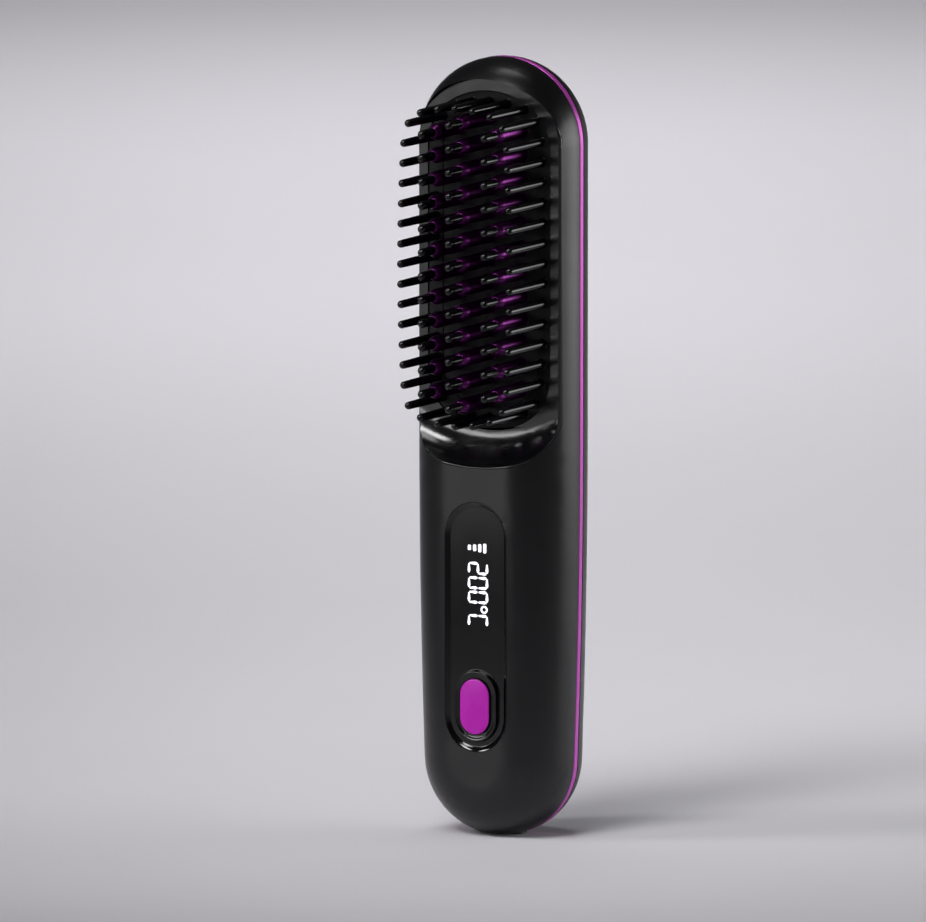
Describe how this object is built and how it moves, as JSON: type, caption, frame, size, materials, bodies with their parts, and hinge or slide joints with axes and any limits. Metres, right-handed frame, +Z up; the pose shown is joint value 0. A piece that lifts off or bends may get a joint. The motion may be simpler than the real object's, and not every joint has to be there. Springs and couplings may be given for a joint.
{
  "type": "cordless heated hair straightening brush",
  "caption": "Slim cordless straightening brush: a bed of heated teeth ringed by guard bristles, a display panel with one button, and a charging port in the foot.",
  "frame": {"origin": "middle of the charging port's mouth, in the plane of the flat foot under the grip", "axes": "+Z up along the brush from the foot to the crown, +Y to the back, teeth towards -Y, +X to the right of a user who looks at the teeth"},
  "size_m": [0.045, 0.0468, 0.205],
  "materials": {
    "shell_black": "satin moulded plastic",
    "bezel_black": "polished black plastic",
    "accent_purple": "glossy metallic purple lacquer",
    "port_black": "fine matt plastic",
    "comb_black": "heat-resistant plastic",
    "bristle_black": "satin nylon",
    "plate_dark": "dark ceramic coating",
    "pin_purple": "purple ceramic coating",
    "tip_black": "heat-insulating nylon",
    "heater_ceramic": "bare ceramic",
    "mica": "mica sheet",
    "clamp_steel": "stamped sheet",
    "screw_steel": "zinc plated",
    "sensor_glass": "glass bead in a sleeve",
    "fuse_case": "bare can",
    "carrier_plastic": "glass-filled nylon",
    "panel_black": "polished smoked plastic",
    "button_purple": "glossy purple plastic",
    "plunger_white": "acetal",
    "switch_black": "moulded",
    "board_green": "glass epoxy with solder mask",
    "display_face": "potted LED block",
    "chip_black": "epoxy package",
    "choke_ferrite": "ferrite",
    "socket_white": "nylon",
    "cell_sleeve": "shrink sleeve over the can",
    "tab_nickel": "nickel strip",
    "cradle_plastic": "moulded",
    "pad_foam": "foam rubber",
    "port_steel": "stamped shell",
    "tongue_black": "liquid-crystal polymer",
    "heater_wire": "silicone insulation",
    "sensor_wire": "silicone insulation"
  },
  "bodies": {
    "body": {"front_shell": "shell_black", "rear_shell": "shell_black", "accent_strip": "accent_purple", "head_bezel": "bezel_black", "port_collar": "port_black", "comb_frame": "comb_black", "guard_bristles": "bristle_black", "heating_plate": "plate_dark", "heating_pins": "pin_purple", "cool_tips": "tip_black", "heater_element": "heater_ceramic", "mica_sheet": "mica", "heater_clamp": "clamp_steel", "clamp_screws": "screw_steel", "thermistor": "sensor_glass", "thermal_fuse": "fuse_case", "heater_carrier": "carrier_plastic", "bezel_screws": "screw_steel", "control_panel": "panel_black", "tact_switch": "switch_black", "main_board": "board_green", "board_screws": "screw_steel", "display_module": "display_face", "board_chips": "chip_black", "power_choke": "choke_ferrite", "lead_sockets": "socket_white", "battery_cell": "cell_sleeve", "cell_tabs": "tab_nickel", "battery_cradle": "cradle_plastic", "battery_pads": "pad_foam", "usb_receptacle": "port_steel", "usb_tongue": "tongue_black", "charge_board": "board_green", "heater_leads": "heater_wire", "sensor_lead": "sensor_wire", "shell_screws": "screw_steel"},
    "button": {"power_button": "button_purple", "switch_plunger": "plunger_white"}
  },
  "joints": [
    {"name": "button_press", "type": "slide", "parent": "body", "child": "button", "axis": [0, 1, 0], "range_m": [0, 0.0006], "stiffness_N_per_m": 1200, "springref_m": -0.0004}
  ]
}
